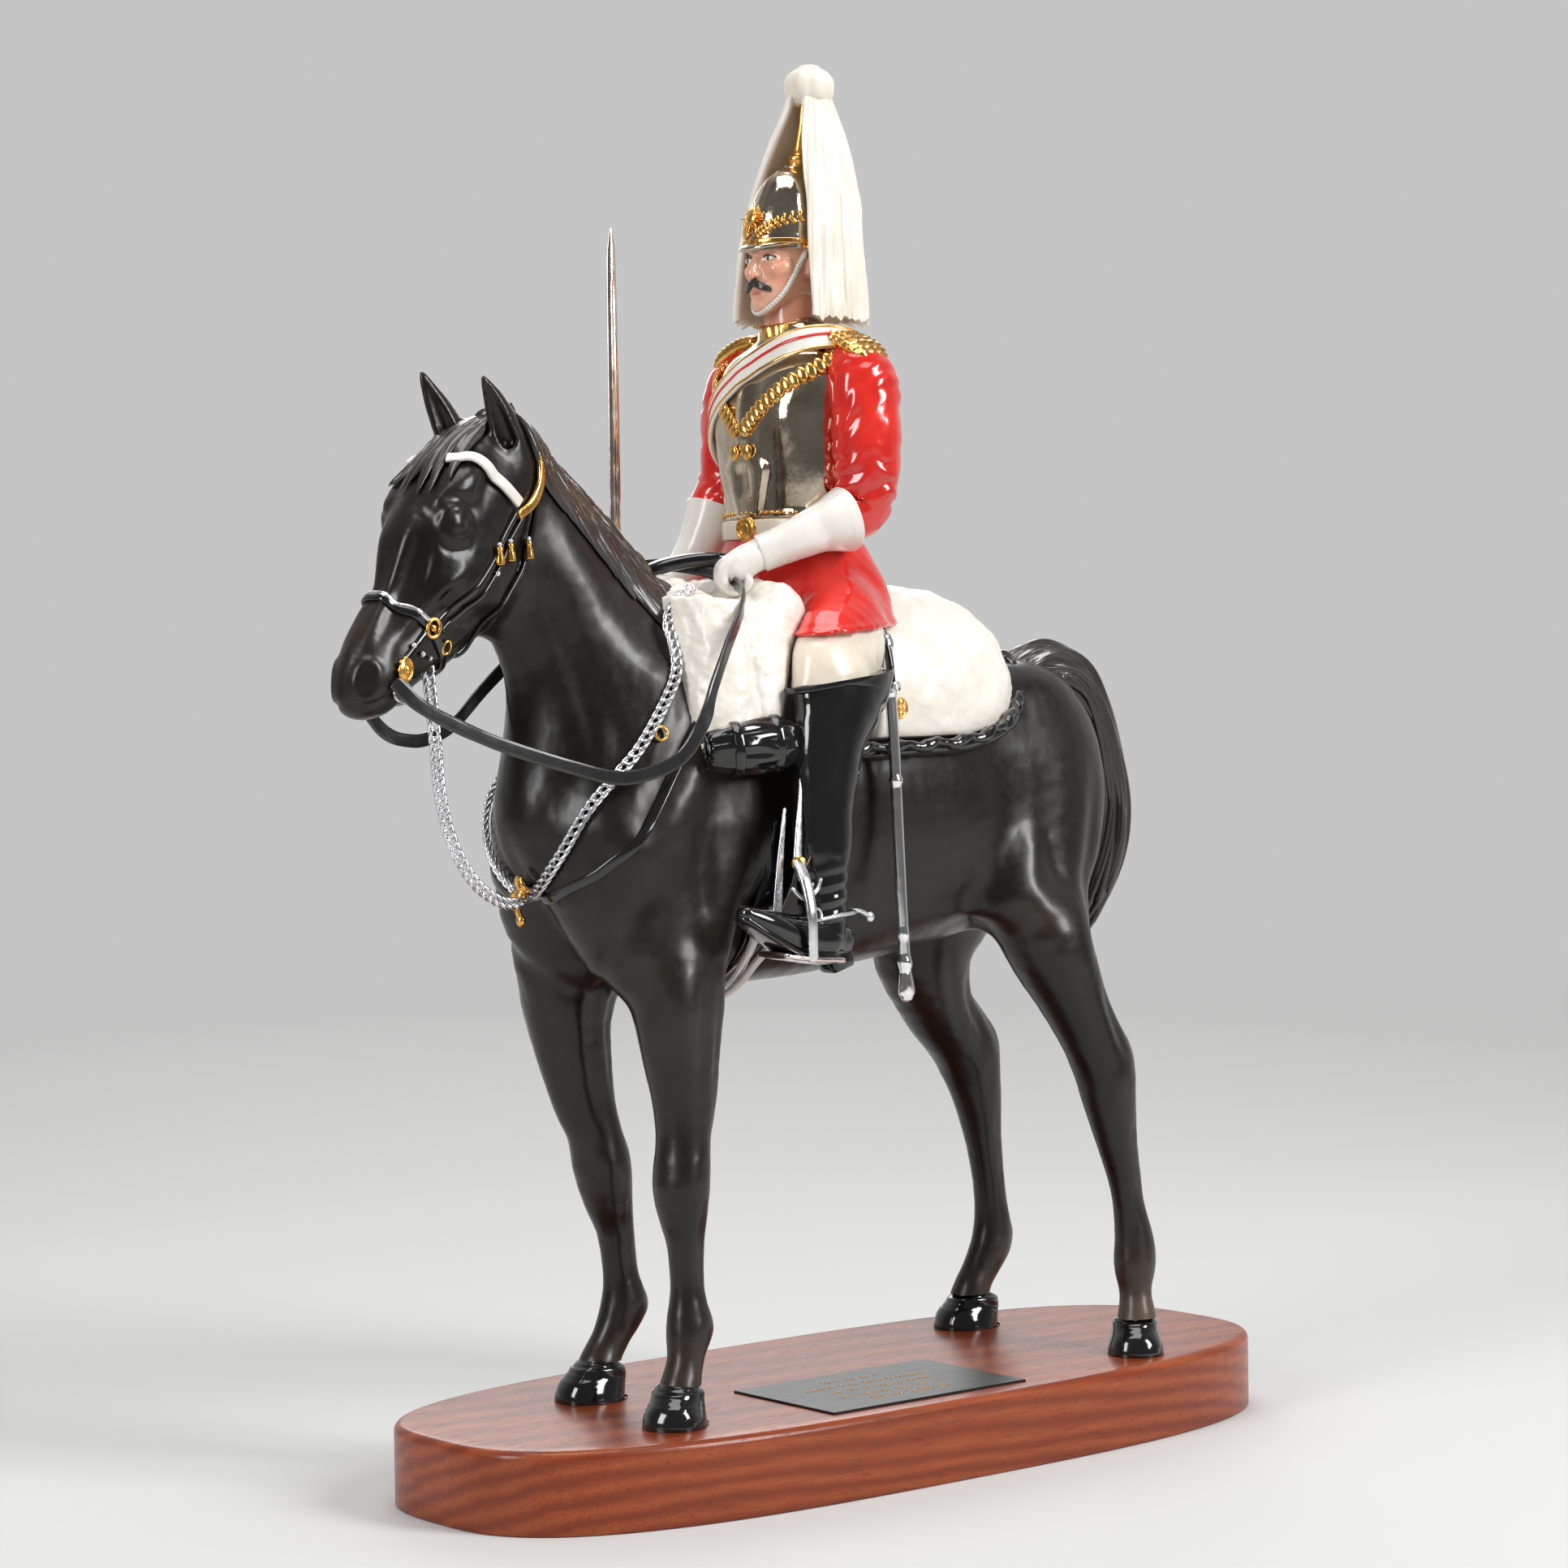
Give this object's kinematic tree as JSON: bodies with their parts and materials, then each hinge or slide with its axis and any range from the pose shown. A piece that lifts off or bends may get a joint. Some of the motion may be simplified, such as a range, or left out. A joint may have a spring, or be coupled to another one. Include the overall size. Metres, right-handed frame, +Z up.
{
  "type": "equestrian statuette",
  "caption": "Glazed ceramic horse standing square with an upright mounted trooper, chain, reins and scabbard, on a rounded oblong wooden plinth with a plaque.",
  "frame": {"origin": "middle of the plinth's flat underside", "axes": "+Z up through horse and rider; the horse faces -X, along the plinth's length, and its near (left) side faces -Y"},
  "size_m": [0.295, 0.105, 0.3696],
  "materials": {
    "mahogany": "reddish mahogany with diagonal grain, semi-gloss varnish",
    "plaque_black": "black plate with faint gilt strokes",
    "black_glaze": "satin near-black ceramic glaze with warm brown tints",
    "gloss_black": "gloss black ceramic glaze",
    "red_glaze": "gloss scarlet ceramic glaze",
    "cream_glaze": "gloss cream-white ceramic glaze",
    "flesh_glaze": "satin flesh ceramic glaze",
    "silver_lustre": "silver lustre over glaze, bright",
    "blade_lustre": "pinkish silver, bright",
    "gilt": "bright gilding",
    "chain_silver": "bright curb chain",
    "rein_black": "flat black strap, satin"
  },
  "bodies": {
    "root": {"plinth": "mahogany", "plaque": "plaque_black", "horse_and_rider": "black_glaze", "sword": "blade_lustre", "scabbard": "silver_lustre", "neck_chain": "chain_silver", "reins": "rein_black"}
  },
  "joints": []
}
